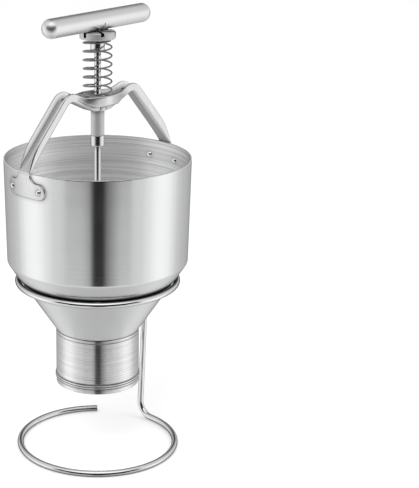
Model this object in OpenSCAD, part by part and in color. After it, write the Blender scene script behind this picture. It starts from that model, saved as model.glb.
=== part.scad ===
// Pancake batter dispenser in its wire stand.
// Millimetres, +Z up. The origin lies on the table, under the hopper's axis.
// The bridge across the hopper's rim lies along X.

/* [Stand] */
// Diameter of the stand's wire
wire_d = 6; // [5:0.5:7]
// Radius of the base ring, to the wire's centre
base_ring_r = 78; // [72:0.1:84]
// Radius of the ring that the hopper rests on, to the wire's centre
rest_ring_r = 77.8; // [72:0.1:84]
// Height of the rest ring, to the wire's centre
rest_ring_z = 175.3; // [160:0.1:190]
// Inside radius of the two bends in the upright
upright_bend_r = 12; // [6:0.5:16]
// Direction of the upright's foot, seen from above
upright_foot_angle = 13; // [0:0.1:30]
// How far round the upright's top lies from its foot
upright_lean_angle = 4.2; // [0:0.1:6]
// Gap between the upright and the cut end of the base ring
base_gap_angle = 34.7; // [20:0.1:50]
// Gap between the upright and the cut end of the rest ring
rest_gap_angle = 20; // [12:1:40]

/* [Hopper] */
// Outer radius at the rim
rim_r = 90; // [85:0.5:95]
// Outer radius at the shoulder, where the cone starts
shoulder_r = 87.9; // [84:0.1:89]
// Height of the nearly straight wall
bowl_h = 102.2; // [80:0.1:120]
// Height of the cone
cone_h = 70.4; // [60:0.1:80]
// Thickness of the spun sheet
sheet_t = 1.6; // [1.2:0.1:2.2]
// Outside radius of the rounded shoulder
shoulder_round_r = 5; // [3:0.5:8]
// Length of the collar that reaches down into the neck
collar_h = 8; // [5:0.5:12]

/* [Neck] */
// Outer radius of the neck
neck_r = 41; // [38:0.5:44]
// Wall of the neck
neck_wall = 3; // [2.6:0.1:4]
// Height of the neck
neck_h = 56.3; // [45:0.1:70]
// How far the bead stands out
bead_out = 1; // [0.5:0.1:2]
// Height of the bead
bead_h = 4.2; // [3:0.1:6]
// Distance of the bead from the lip
bead_rise = 5.4; // [4:0.1:12]
// Width of the turned grooves
groove_w = 0.9; // [0.5:0.1:1.5]
// Depth of the turned grooves
groove_depth = 0.5; // [0.3:0.1:0.8]
// Distance of the upper groove from the cone
upper_groove_drop = 4.2; // [3:0.1:8]
// Height of the bevelled seat inside the lip
lip_seat_h = 2.4; // [1.5:0.1:4]
// Radial width of the bevelled seat inside the lip
lip_seat_w = 1.6; // [1:0.1:2]

/* [Bridge] */
// Width of the channel strip
strip_w = 16; // [14:0.5:20]
// Thickness of the strip
strip_t = 2; // [1.5:0.1:2.5]
// Height of the channel's flanges, with the web
flange_h = 8.6; // [6:0.1:11]
// Distance of each rounded top bend from the axis
bump_x = 38; // [32:0.5:44]
// Height of the top bends over the rim
bump_rise = 58.3; // [50:0.1:70]
// Inside radius of the top bends
bump_r = 6; // [4:0.5:9]
// Half length of the level stretch under the cup
dip_x = 10; // [9:0.5:14]
// Height of that stretch over the rim
dip_rise = 45.4; // [40:0.1:52]
// Length along each arm over which the flanges die away
taper_len = 30; // [20:1:36]
// Height of the cup's edge over the rim
cup_rise = 61.3; // [57:0.1:66]
// Depth of the cup
cup_depth = 8.5; // [6:0.1:10]
// Radius of the boss under the cup
boss_r = 9; // [8:0.5:12]
// Half length over which the flanges flare out to the cup
flare_x = 29; // [26:0.5:32]
// Height of the riveted tab
tab_h = 15; // [13:0.5:20]
// Radius of the hollow corners beside the tab's stem
tab_hollow_r = 8; // [2:0.5:9]

/* [Rivets] */
// Distance of the rivets below the rim
rivet_drop = 15.7; // [12:0.1:20]
// Angle of each rivet from the bridge's middle line
rivet_angle = 11.5; // [10:0.1:14]
// Diameter of the rivets' shanks
rivet_shank_d = 4; // [3:0.1:4.4]
// Diameter of the rivets' round heads
rivet_head_d = 6; // [5.5:0.1:8]
// Height of the rivets' round heads
rivet_head_h = 2; // [1.5:0.1:3]

/* [Guide] */
// Diameter of the tube under the bridge
tube_d = 13.1; // [12:0.1:15]
// Length of the tube under the bridge
tube_len = 24.3; // [18:0.1:32]
// Bore of the tube
tube_bore_d = 10; // [9:0.1:10.5]
// Diameter of the tube's threaded top end
tube_top_d = 11; // [10:0.1:12]
// Length of the narrow running bore in the tube's top end
tube_bearing_h = 7; // [5:0.5:10]
// Diameter of the polished ferrule
ferrule_d = 13.5; // [12.5:0.1:15]
// Height of the polished ferrule
ferrule_h = 10.5; // [8:0.1:14]
// Length of the ferrule's spigot inside the tube
ferrule_spigot_h = 8; // [5:0.5:12]
// Width across the flats of the guide nut
guide_nut_af = 15; // [14:0.5:16]
// Height of the guide nut
guide_nut_h = 5; // [4:0.1:6]
// How far the tube's end stands over the guide nut
tube_stand = 1.5; // [0.5:0.1:2.5]

/* [Rod] */
// Diameter of the rod
rod_d = 6.4; // [6:0.1:7]
// Diameter of the rod's lower end, inside the piston and the disc
rod_end_d = 6; // [5:0.1:6]
// How far the rod's end stands under the disc's nut
rod_stand = 1; // [0.5:0.1:1.5]

/* [Handle] */
// Diameter of the bar
bar_d = 18.3; // [16:0.1:20]
// Length of the bar, over its rounded ends
bar_len = 144.8; // [120:0.1:170]
// Direction of the bar, seen from above
bar_angle = 6.6; // [0:0.1:90]
// Depth of the rod's blind hole over the bar's axis
bar_hole_rise = 5; // [4:0.1:7]
// Diameter of the pin through the bar and the rod
bar_pin_d = 3; // [2.5:0.1:3.5]
// How far that pin dips, turned about the bar's axis
bar_pin_dip = 17; // [0:1:30]
// Height of the bar over the dial
bar_gap = 0.8; // [0.3:0.1:3]

/* [Dial] */
// Diameter of the dial
dial_d = 34; // [30:0.5:38]
// Thickness of the dial
dial_t = 6.8; // [6.4:0.1:8]
// Width of the bevel round the dial's edges
dial_bevel = 0.6; // [0.3:0.1:1]
// Height of the step that centres the spring
dial_step_h = 1.4; // [1:0.1:2]
// Diameter of the dial's hub
hub_d = 13.6; // [12:0.1:16]
// Height of the hub, under the dial
hub_h = 11.9; // [9:0.1:13]
// Width of the slots
slot_w = 3.2; // [3:0.1:4]
// Depth of the pair of slots in use
slot_depth = 4.6; // [4:0.1:5]
// How much each of the other two pairs is shallower than the last
slot_step = 0.8; // [0.3:0.1:0.9]
// Direction of the pair of slots in use, seen from above
slot_angle = 3.8; // [0:0.1:60]
// Diameter of the cross pin that sits in the slots
dial_pin_d = 3; // [2.5:0.1:3]
// Length of the cross pin that sits in the slots
dial_pin_len = 26; // [20:0.5:30]

/* [Spring] */
// Outer diameter of the spring
spring_d = 28.3; // [27:0.1:29]
// Diameter of the spring's wire
spring_wire_d = 1.7; // [1.4:0.1:2]
// Length of the spring as fitted
spring_len = 59.2; // [54:0.1:62]
// Number of turns from end to end
spring_turns = 7.21; // [6:0.01:9]
// Turns at each end that lie close
close_turns = 0.25; // [0.25:0.25:1]
// Rise of those turns, for a whole turn
close_pitch = 6; // [2.5:0.1:7]
// Direction of the wire's upper end, seen from above
spring_end_angle = -69.7; // [-180:0.1:180]
// Thickness of the washer under the spring
seat_t = 0.9; // [0.6:0.1:1.5]

/* [Piston] */
// Thickness of the piston's plate
piston_plate_t = 3; // [2:0.1:4]
// Height of the piston's rim
piston_rim_h = 8; // [6:0.5:12]
// Width of the piston's rim
piston_rim_w = 3; // [2:0.1:5]
// Radius of the piston's hub
piston_hub_r = 9; // [8:0.5:12]
// Height of the piston over the neck's top edge
piston_rise = 10; // [6:0.5:14]
// Width across the flats of the two nuts on the rod's lower end
rod_nut_af = 10; // [9:0.5:11]
// Height of those nuts
rod_nut_h = 5; // [4:0.1:6]
// Diameter of the spacer tube
spacer_d = 11; // [9:0.5:14]

/* [Closing disc] */
// Thickness of the closing disc
disc_t = 3; // [2.5:0.1:4]
// Room round the nut in the disc's hollow hub
nut_room = 1.2; // [0.8:0.1:3]
// Height of the hollow inside that hub
disc_hollow_h = 8; // [7:0.1:10]
// How far the disc lies inside the lip
disc_inset = 0.5; // [0.3:0.1:1]

/* [Fits] */
// Radial clearance of the rod in its two bearings and in the dial
run_gap = 0.05; // [0.02:0.01:0.1]
// Gap between still pieces with curved faces
still_gap = 0.1; // [0.05:0.01:0.2]
// Gap round pieces that move apart
free_gap = 0.3; // [0.2:0.05:0.4]

/* [Hidden] */
$fn = 96;
// Overrun of every cut
cut = 1;
// Parts of a turn
full_turn = 360;
half_turn = 180;
quarter_turn = 90;
// Swelling of the wire where the upright meets its bends at a slight angle
kink_swell = 0.15;
// Sides of a nut
nut_sides = 6;
// Clearance of a nut's bore
thread_gap = 0.03;
// Clearance of the driven pins
pin_gap = 0.02;
// Step in the guide tube's bore, under its threaded end
bearing_step = 1;

// Half sizes
wire_r = wire_d / 2;
rod_r = rod_d / 2;
rod_end_r = rod_end_d / 2;
tube_r = tube_d / 2;
tube_top_r = tube_top_d / 2;
tube_bore_r = tube_bore_d / 2;
ferrule_r = ferrule_d / 2;
bar_r = bar_d / 2;
dial_r = dial_d / 2;
hub_r = hub_d / 2;
strip_half = strip_w / 2;

// Heights: the cone's slope settles how low the hopper sinks into the rest ring
neck_bore_r = neck_r - neck_wall;
cone_tilt = atan2(shoulder_r - neck_r, cone_h);
wall_tilt = atan2(rim_r - shoulder_r, bowl_h);
rest_reach = wire_r + free_gap;
foot_z = rest_ring_z - ((rest_ring_r - neck_r) * cos(cone_tilt) - rest_reach) / sin(cone_tilt);
lip_z = foot_z - neck_h;
shoulder_z = foot_z + cone_h;
rim_z = shoulder_z + bowl_h;
dip_z = rim_z + dip_rise;
cup_top_z = rim_z + cup_rise;
cup_floor_z = cup_top_z - cup_depth;
seat_top_z = cup_floor_z + seat_t;
dial_z = seat_top_z + spring_len + free_gap;
dial_top_z = dial_z + dial_t;
bar_z = dial_top_z + bar_gap + bar_r;
slot_floor_z = dial_top_z - slot_depth;
dial_pin_z = slot_floor_z + still_gap + dial_pin_d / 2;
tube_foot_z = dip_z - tube_len;
ferrule_z = tube_foot_z - ferrule_h;
guide_nut_z = cup_floor_z;
tube_top_z = guide_nut_z + guide_nut_h + tube_stand;

// Heights of the plunger's lower end, at rest
disc_z = lip_z + disc_inset;
disc_hub_z = disc_z + disc_hollow_h;
spacer_z = disc_hub_z + disc_t;
piston_z = foot_z + piston_rise;
piston_nut_z = piston_z + piston_rim_h;
rod_step_z = piston_nut_z + rod_nut_h;
disc_nut_z = disc_hub_z - rod_nut_h;

// Stand

// Lift of each ring's end to the start of the upright, and the ring's turn that it takes
bend_r = upright_bend_r + wire_r;
base_bend_angle = atan2(bend_r, base_ring_r);
rest_bend_angle = atan2(bend_r, rest_ring_r);
upright_top_angle = upright_foot_angle - upright_lean_angle;

// Point on a circle about the axis
function round_point(r, a, z) = [r * cos(a), r * sin(a), z];

// A straight run of wire between two points
module wire_run(from, to) {
    run = to - from;
    flat = norm([run.x, run.y]);
    translate(from)
        rotate([0, atan2(flat, run.z), atan2(run.y, run.x)])
            cylinder(r = wire_r, h = norm(run));
}

// A ring that starts at +X and runs clockwise, with the bend that turns up from its start
module wire_arm(ring_r, sweep) {
    rotate_extrude(angle = -sweep)
        translate([ring_r, 0])
            circle(r = wire_r);
    translate([ring_r, 0, bend_r])
        rotate([quarter_turn, 0, quarter_turn])
            rotate([0, 0, -quarter_turn])
                rotate_extrude(angle = quarter_turn)
                    translate([bend_r, 0])
                        circle(r = wire_r);
}

module stand_wire() {
    foot = round_point(norm([base_ring_r, bend_r]), upright_foot_angle, wire_r + bend_r);
    top = round_point(norm([rest_ring_r, bend_r]), upright_top_angle, rest_ring_z - bend_r);
    base_start = upright_foot_angle - base_bend_angle;
    rest_start = upright_top_angle + rest_bend_angle;
    color("lightsteelblue") {
        translate([0, 0, wire_r])
            rotate([0, 0, base_start])
                wire_arm(base_ring_r, full_turn - base_gap_angle - base_bend_angle);
        translate([0, 0, rest_ring_z])
            rotate([half_turn, 0, rest_start])
                wire_arm(rest_ring_r, full_turn - rest_gap_angle - rest_bend_angle);
        wire_run(foot, top);
        for (p = [foot, top])
            translate(p)
                sphere(r = wire_r + kink_swell);
    }
}

// Hopper and neck

// Points of the rounded shoulder: an arc that both straight lines touch
function shoulder_arc(round_r) =
    let (turn = cone_tilt - wall_tilt,
         reach = shoulder_round_r * tan(turn / 2),
         centre = [shoulder_r - reach * sin(cone_tilt) - shoulder_round_r * cos(cone_tilt),
                   shoulder_z - reach * cos(cone_tilt) + shoulder_round_r * sin(cone_tilt)])
    [for (i = [0 : shoulder_steps])
        let (a = -cone_tilt + turn * i / shoulder_steps)
        centre + round_r * [cos(a), sin(a)]];
shoulder_steps = 8;

// The cone's outer face, offset inwards by t, at radius r
function cone_z(r, t) = foot_z + (r - neck_r + t / cos(cone_tilt)) / tan(cone_tilt);

collar_r = neck_bore_r + sheet_t;

module hopper_shell() {
    rim_round = sheet_t / 2;
    color("silver")
        difference() {
            rotate_extrude() {
                polygon(concat(
                    [[neck_bore_r, foot_z - collar_h], [collar_r, foot_z - collar_h],
                     [collar_r, cone_z(collar_r, 0)]],
                    shoulder_arc(shoulder_round_r),
                    [[rim_r, rim_z - rim_round], [rim_r - sheet_t, rim_z - rim_round]],
                    reverse_list(shoulder_arc(shoulder_round_r - sheet_t)),
                    [[neck_bore_r, cone_z(neck_bore_r, sheet_t)]]));
                translate([rim_r - rim_round, rim_z - rim_round])
                    circle(r = rim_round);
            }
            rivet_holes();
        }
}

function reverse_list(points) = [for (i = [len(points) - 1 : -1 : 0]) points[i]];

module neck_sleeve() {
    bead_z = lip_z + bead_rise;
    bead_bevel = bead_out;
    socket_r = collar_r + still_gap;
    groove_r = neck_r - groove_depth;
    groove_z = foot_z - upper_groove_drop;
    seat_drop = still_gap / sin(cone_tilt);
    color("gainsboro")
        rotate_extrude()
            polygon([
                [neck_bore_r + lip_seat_w, lip_z],
                [neck_r, lip_z],
                [neck_r, bead_z],
                [neck_r + bead_out, bead_z + bead_bevel],
                [neck_r + bead_out, bead_z + bead_h - bead_bevel],
                [neck_r, bead_z + bead_h],
                [groove_r, bead_z + bead_h],
                [groove_r, bead_z + bead_h + groove_w],
                [neck_r, bead_z + bead_h + groove_w],
                [neck_r, groove_z],
                [groove_r, groove_z],
                [groove_r, groove_z + groove_w],
                [neck_r, groove_z + groove_w],
                [neck_r, foot_z - seat_drop],
                [socket_r, cone_z(socket_r, 0) - seat_drop],
                [socket_r, foot_z - collar_h - still_gap],
                [neck_bore_r, foot_z - collar_h - still_gap],
                [neck_bore_r, lip_z + lip_seat_h]]);
}

// Bridge

// The strip's lower face, lifted by o, from the middle out to the rim at +X
bump_z = rim_z + bump_rise;
bump_centre = [bump_x, bump_z - bump_r];
arm_foot = [rim_r + still_gap, rim_z + still_gap];
dip_end = [dip_x, dip_z];
bump_steps = 10;
arm_line = bump_centre - arm_foot;
arm_tilt = atan2(arm_line.y, arm_line.x) - asin(bump_r / norm(arm_line));
dip_line = bump_centre - dip_end;
dip_tilt = atan2(dip_line.y, dip_line.x) + asin(bump_r / norm(dip_line));
arm_normal = [sin(arm_tilt), -cos(arm_tilt)];
dip_normal = [-sin(dip_tilt), cos(dip_tilt)];

function bump_arc(o) = [for (i = [0 : bump_steps])
    let (start = dip_tilt + quarter_turn, a = start + (arm_tilt - quarter_turn - start) * i / bump_steps)
    bump_centre + (bump_r + o) * [cos(a), sin(a)]];

function strip_path(o) = concat(
    [[0, dip_z + o], dip_end + o * [-tan(dip_tilt / 2), 1]],
    bump_arc(o),
    [arm_foot + o * arm_normal]);

// The flange's free edge: it follows the strip and dies away towards the rim
taper_steps = 6;
function flange_edge() = concat(
    [[0, dip_z + flange_h], dip_end + flange_h * [-tan(dip_tilt / 2), 1]],
    bump_arc(flange_h),
    [for (i = [0 : taper_steps])
        let (share = i / taper_steps,
             height = strip_t + (flange_h - strip_t) * sin(quarter_turn * (1 - share)))
        arm_foot - (taper_len * (1 - share)) * [cos(arm_tilt + half_turn), sin(arm_tilt + half_turn)]
            + height * arm_normal]);

module both_sides() {
    children();
    mirror([1, 0])
        children();
}

module strip_band() {
    both_sides()
        polygon(concat(strip_path(0), reverse_list(strip_path(strip_t))));
}

module flange_band() {
    both_sides()
        polygon(concat(strip_path(0), reverse_list(flange_edge())));
}

// Everything over the strip's lower face, up to the cup's edge, between the flares
module cup_band() {
    both_sides()
        polygon([[0, dip_z], dip_end, bump_arc(0)[0], [flare_x, cup_top_z], [0, cup_top_z]]);
}

// Draws a flat outline in X and Z, as thick as w and centred on Y
module across(w) {
    rotate([quarter_turn, 0, 0])
        translate([0, 0, -w / 2])
            linear_extrude(height = w)
                children();
}

// The outside of the bend between an arm and its tab
module foot_bend() {
    end = atan2(arm_normal.y, arm_normal.x);
    polygon(concat(
        [arm_foot, arm_foot - [0, strip_t], arm_foot + [strip_t, -strip_t]],
        [for (i = [0 : bump_steps])
            arm_foot + strip_t * [cos(end * i / bump_steps), sin(end * i / bump_steps)]]));
}

// The cup's round wall and the flares that lead the flanges to it, drawn in by t
cup_r = spring_d / 2 + free_gap * 2 + strip_t;
module flare_outline(t) {
    half = strip_half - t;
    r = cup_r - t;
    corner_angle = atan2(half, flare_x);
    touch = corner_angle + acos(r / norm([flare_x, half]));
    t_x = r * cos(touch);
    t_y = r * sin(touch);
    circle(r = r);
    polygon([[flare_x, half], [t_x, t_y], [-t_x, t_y], [-flare_x, half],
             [-flare_x, -half], [-t_x, -t_y], [t_x, -t_y], [flare_x, -half]]);
}

// The wall's radius at a height, for what lies against the hopper
function wall_r(z) = shoulder_r + (rim_r - shoulder_r) * (z - shoulder_z) / bowl_h;

rivet_z = rim_z - rivet_drop;
rivet_y = rim_r * sin(rivet_angle);
tab_round = tab_h / 2;

// The tab's outline in Y and Z: a bar with round ends, a stem up to the rim and hollow corners
module tab_outline() {
    for (side = [-1, 1])
        translate([side * rivet_y, rivet_z])
            circle(r = tab_round);
    translate([-rivet_y, rivet_z - tab_round])
        square([2 * rivet_y, tab_h]);
    difference() {
        translate([-strip_half - tab_hollow_r, rivet_z])
            square([strip_w + 2 * tab_hollow_r, arm_foot.y - rivet_z]);
        for (side = [-1, 1])
            translate([side * (strip_half + tab_hollow_r), rivet_z + tab_round + tab_hollow_r])
                circle(r = tab_hollow_r);
        for (side = [-1, 1])
            translate([side * (strip_half + tab_hollow_r) - tab_hollow_r, rivet_z + tab_round + tab_hollow_r])
                square([2 * tab_hollow_r, rivet_drop]);
    }
}

module tab() {
    low_z = rivet_z - tab_h;
    intersection() {
        rotate_extrude()
            polygon([[wall_r(low_z) + still_gap, low_z], [wall_r(low_z) + still_gap + strip_t, low_z],
                     [arm_foot.x + strip_t, arm_foot.y], [arm_foot.x, arm_foot.y]]);
        rotate([quarter_turn, 0, quarter_turn])
            linear_extrude(height = rim_r + 2 * strip_t)
                tab_outline();
    }
}

// Rivets stand in pairs at both ends of the bridge, square to the wall
module at_rivets() {
    for (end = [0, half_turn])
        for (side = [-1, 1])
            rotate([0, 0, end + side * rivet_angle])
                translate([wall_r(rivet_z), 0, rivet_z])
                    rotate([0, quarter_turn + wall_tilt, 0])
                        children();
}

// Holes through the tab and the hopper's wall
module rivet_holes() {
    at_rivets()
        cylinder(r = rivet_shank_d / 2 + still_gap, h = 2 * (strip_t + sheet_t), center = true);
}

module bridge() {
    boss_top_z = cup_floor_z - strip_t;
    color("darkgray")
        difference() {
            union() {
                across(strip_w)
                    strip_band();
                difference() {
                    across(strip_w)
                        flange_band();
                    across(strip_w - 2 * strip_t)
                        flange_band();
                    translate([0, 0, cup_floor_z])
                        linear_extrude(height = bump_z + flange_h - cup_floor_z)
                            flare_outline(strip_t);
                }
                intersection() {
                    across(2 * cup_r)
                        cup_band();
                    difference() {
                        translate([0, 0, boss_top_z])
                            linear_extrude(height = cup_top_z - boss_top_z)
                                flare_outline(0);
                        translate([0, 0, cup_floor_z])
                            linear_extrude(height = cup_depth + cut)
                                flare_outline(strip_t);
                    }
                }
                translate([0, 0, dip_z])
                    cylinder(r = boss_r, h = cup_floor_z - dip_z);
                for (end = [0, half_turn])
                    rotate([0, 0, end]) {
                        tab();
                        across(strip_w)
                            foot_bend();
                    }
            }
            translate([0, 0, dip_z - cut])
                cylinder(r = tube_top_r + still_gap, h = cup_depth + cup_top_z - dip_z);
            rivet_holes();
        }
}

// Round heads outside and inside, with the shank between
module rivet() {
    head_r = rivet_head_d / 2;
    dome_r = (head_r * head_r + rivet_head_h * rivet_head_h) / (2 * rivet_head_h);
    outer = 2 * still_gap + strip_t;
    inner = sheet_t + still_gap;
    translate([0, 0, -inner])
        cylinder(r = rivet_shank_d / 2, h = inner + outer);
    for (end = [[outer, 0], [-inner, half_turn]])
        translate([0, 0, end[0]])
            rotate([end[1], 0, 0])
                intersection() {
                    translate([0, 0, rivet_head_h - dome_r])
                        sphere(r = dome_r);
                    cylinder(r = head_r, h = rivet_head_h);
                }
}

module bridge_rivets() {
    color("lightgray")
        at_rivets()
            rivet();
}

// Guide

module guide_tube() {
    color("lightgray")
        rotate_extrude()
            polygon([
                [tube_bore_r, tube_foot_z],
                [tube_r, tube_foot_z],
                [tube_r, dip_z],
                [tube_top_r, dip_z],
                [tube_top_r, tube_top_z],
                [rod_r + run_gap, tube_top_z],
                [rod_r + run_gap, tube_top_z - tube_bearing_h],
                [tube_bore_r - bearing_step, tube_top_z - tube_bearing_h],
                [tube_bore_r - bearing_step, dip_z],
                [tube_bore_r, dip_z]]);
}

module guide_ferrule() {
    spigot_r = tube_bore_r - still_gap;
    bevel = (ferrule_r - rod_r) / 4;
    color("white")
        rotate_extrude()
            polygon([
                [rod_r + run_gap, ferrule_z],
                [ferrule_r - bevel, ferrule_z],
                [ferrule_r, ferrule_z + bevel],
                [ferrule_r, tube_foot_z],
                [spigot_r, tube_foot_z],
                [spigot_r, tube_foot_z + ferrule_spigot_h],
                [rod_r + run_gap, tube_foot_z + ferrule_spigot_h]]);
}

// Radius over a nut's corners
function corner_r(af) = af / 2 / cos(half_turn / nut_sides);

// A six-sided nut with a round bore
module hex_nut(af, h, bore_r) {
    difference() {
        cylinder(r = corner_r(af), h = h, $fn = nut_sides);
        translate([0, 0, -cut])
            cylinder(r = bore_r, h = h + 2 * cut);
    }
}

module guide_nut() {
    color("gray")
        translate([0, 0, guide_nut_z])
            hex_nut(guide_nut_af, guide_nut_h, tube_top_r + thread_gap);
}

module spring_seat() {
    inner = corner_r(guide_nut_af) + free_gap;
    outer = cup_r - strip_t - free_gap;
    color("white")
        translate([0, 0, cup_floor_z])
            difference() {
                cylinder(r = outer, h = seat_t);
                translate([0, 0, -cut])
                    cylinder(r = inner, h = seat_t + 2 * cut);
            }
}

// Plunger

module plunger_rod() {
    top_z = bar_z + bar_hole_rise - still_gap;
    end_z = disc_nut_z - rod_stand;
    color("silver")
        difference() {
            rotate_extrude()
                polygon([[0, end_z], [rod_end_r, end_z], [rod_end_r, rod_step_z],
                         [rod_r, rod_step_z], [rod_r, top_z], [0, top_z]]);
            translate([0, 0, dial_pin_z])
                rotate([quarter_turn, 0, slot_angle + quarter_turn])
                    cylinder(r = dial_pin_d / 2 + pin_gap, h = rod_d + 2 * cut, center = true);
            translate([0, 0, bar_z])
                rotate([quarter_turn + bar_pin_dip, 0, bar_angle])
                    cylinder(r = bar_pin_d / 2 + pin_gap, h = rod_d + 2 * cut, center = true);
        }
}

module handle_bar() {
    straight = bar_len - bar_d;
    color("gainsboro")
        translate([0, 0, bar_z])
            rotate([0, 0, bar_angle])
                difference() {
                    union() {
                        rotate([0, quarter_turn, 0])
                            cylinder(r = bar_r, h = straight, center = true);
                        for (side = [-1, 1])
                            translate([side * straight / 2, 0, 0])
                                sphere(r = bar_r);
                    }
                    translate([0, 0, -bar_r - cut])
                        cylinder(r = rod_r + pin_gap, h = bar_r + cut + bar_hole_rise);
                    rotate([quarter_turn + bar_pin_dip, 0, 0])
                        cylinder(r = bar_pin_d / 2 + pin_gap, h = bar_d + 2 * cut, center = true);
                }
}

module handle_pin() {
    color("gray")
        translate([0, 0, bar_z])
            rotate([quarter_turn + bar_pin_dip, 0, bar_angle])
                cylinder(r = bar_pin_d / 2, h = bar_d - bar_pin_d / 2, center = true);
}

module dial_pin() {
    color("dimgray")
        translate([0, 0, dial_pin_z])
            rotate([quarter_turn, 0, slot_angle + quarter_turn])
                cylinder(r = dial_pin_d / 2, h = dial_pin_len, center = true);
}

// Three pairs of slots, each with its own depth
module dial_slots() {
    slots = 3;
    for (i = [0 : slots - 1]) {
        depth = slot_depth - slot_step * ((slots - i) % slots);
        rotate([0, 0, slot_angle + i * half_turn / slots])
            translate([-dial_r - cut, -slot_w / 2, dial_top_z - depth])
                cube([dial_d + 2 * cut, slot_w, depth + cut]);
    }
}

module dose_dial() {
    step_z = dial_z - dial_step_h;
    step_r = coil_r * cos(half_turn / rings_per_turn) - spring_wire_r - free_gap;
    hub_z = dial_z - hub_h;
    color("darkgray")
        difference() {
            rotate_extrude()
                polygon([
                    [rod_r + run_gap, hub_z],
                    [hub_r - dial_bevel, hub_z],
                    [hub_r, hub_z + dial_bevel],
                    [hub_r, step_z],
                    [step_r, step_z],
                    [step_r, dial_z],
                    [dial_r - dial_bevel, dial_z],
                    [dial_r, dial_z + dial_bevel],
                    [dial_r, dial_top_z - dial_bevel],
                    [dial_r - dial_bevel, dial_top_z],
                    [rod_r + run_gap, dial_top_z]]);
            dial_slots();
        }
}

// Return spring: one unbroken tube along a helix
ring_sides = 6;
rings_per_turn = 8;
spring_wire_r = spring_wire_d / 2;
coil_r = spring_d / 2 - spring_wire_r;
open_rise = spring_len - spring_wire_d - 2 * close_turns * close_pitch;
open_pitch = open_rise / (spring_turns - 2 * close_turns);
spring_z = seat_top_z + spring_wire_r;
coil_rings = ceil(spring_turns * rings_per_turn);

// Height of the helix after u turns
function coil_rise(u) =
    u < close_turns ? u * close_pitch
    : u < spring_turns - close_turns ? close_turns * close_pitch + (u - close_turns) * open_pitch
    : close_turns * close_pitch + open_rise + (u - spring_turns + close_turns) * close_pitch;
function coil_angle(u) = spring_end_angle + (u - spring_turns) * full_turn;
function coil_point(u) = [coil_r * cos(coil_angle(u)), coil_r * sin(coil_angle(u)), spring_z + coil_rise(u)];
function coil_out(u) = [cos(coil_angle(u)), sin(coil_angle(u)), 0];
function coil_along(u) = [-sin(coil_angle(u)), cos(coil_angle(u)), 0];

// Ring centres with their outward and forward directions; each end runs straight for one wire diameter
coil_turns = [for (i = [0 : coil_rings]) spring_turns * i / coil_rings];
coil_line = concat(
    [[coil_point(0) - spring_wire_d * coil_along(0), 0]],
    [for (u = coil_turns) [coil_point(u), u]],
    [[coil_point(spring_turns) + spring_wire_d * coil_along(spring_turns), spring_turns]]);

module return_spring() {
    n = len(coil_line);
    points = [for (c = coil_line) for (k = [0 : ring_sides - 1])
        let (a = full_turn * k / ring_sides)
        c[0] + spring_wire_r * (cos(a) * coil_out(c[1]) + [0, 0, sin(a)])];
    walls = [for (i = [0 : n - 2]) for (k = [0 : ring_sides - 1])
        let (p = i * ring_sides + k, q = i * ring_sides + (k + 1) % ring_sides)
        each [[p, q, p + ring_sides], [q, q + ring_sides, p + ring_sides]]];
    caps = [for (k = [1 : ring_sides - 2])
        each [[0, k + 1, k],
              [(n - 1) * ring_sides, (n - 1) * ring_sides + k, (n - 1) * ring_sides + k + 1]]];
    color("slategray")
        polyhedron(points = points, faces = concat(walls, caps));
}

// Least gap between the spring's own turns
coil_gap = min([for (i = [0 : coil_rings]) for (j = [i + rings_per_turn / 2 : 1 : coil_rings])
    norm(coil_point(coil_turns[i]) - coil_point(coil_turns[j])) - spring_wire_d]);
echo(least_gap_between_turns = coil_gap);

// Lower end of the plunger

module piston() {
    r = neck_bore_r - free_gap;
    top_z = piston_z + piston_rim_h;
    bevel = piston_rim_w / 3;
    color("lightgray")
        rotate_extrude()
            polygon([
                [rod_end_r + run_gap, piston_z],
                [r - bevel, piston_z],
                [r, piston_z + bevel],
                [r, top_z - bevel],
                [r - bevel, top_z],
                [r - piston_rim_w, top_z],
                [r - piston_rim_w, piston_z + piston_plate_t],
                [piston_hub_r, piston_z + piston_plate_t],
                [piston_hub_r, top_z],
                [rod_end_r + run_gap, top_z]]);
}

module piston_nut() {
    color("gray")
        translate([0, 0, piston_nut_z])
            hex_nut(rod_nut_af, rod_nut_h, rod_end_r + thread_gap);
}

module spacer_tube() {
    color("silver")
        translate([0, 0, spacer_z])
            difference() {
                cylinder(d = spacer_d, h = piston_z - spacer_z);
                translate([0, 0, -cut])
                    cylinder(r = rod_end_r + run_gap, h = piston_z - spacer_z + 2 * cut);
            }
}

module closing_disc() {
    seat_r = neck_bore_r + lip_seat_w * (1 - disc_inset / lip_seat_h);
    hollow_r = corner_r(rod_nut_af) + nut_room;
    hub_wall_r = hollow_r + disc_t;
    color("lightgray")
        rotate_extrude()
            polygon([
                [hollow_r, disc_z],
                [seat_r - free_gap, disc_z],
                [neck_bore_r - free_gap, lip_z + lip_seat_h - free_gap],
                [neck_bore_r - free_gap, disc_z + disc_t],
                [hub_wall_r, disc_z + disc_t],
                [hub_wall_r, spacer_z],
                [rod_end_r + run_gap, spacer_z],
                [rod_end_r + run_gap, disc_hub_z],
                [hollow_r, disc_hub_z]]);
}

module disc_nut() {
    color("gray")
        translate([0, 0, disc_nut_z])
            hex_nut(rod_nut_af, rod_nut_h, rod_end_r + thread_gap);
}

stand_wire();
hopper_shell();
neck_sleeve();
bridge();
bridge_rivets();
guide_tube();
guide_ferrule();
guide_nut();
plunger_rod();
handle_bar();
handle_pin();
dose_dial();
dial_pin();
return_spring();
spring_seat();
piston();
piston_nut();
spacer_tube();
closing_disc();
disc_nut();
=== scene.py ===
import math

import bmesh
import bpy
from mathutils import Matrix, Vector


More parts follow.
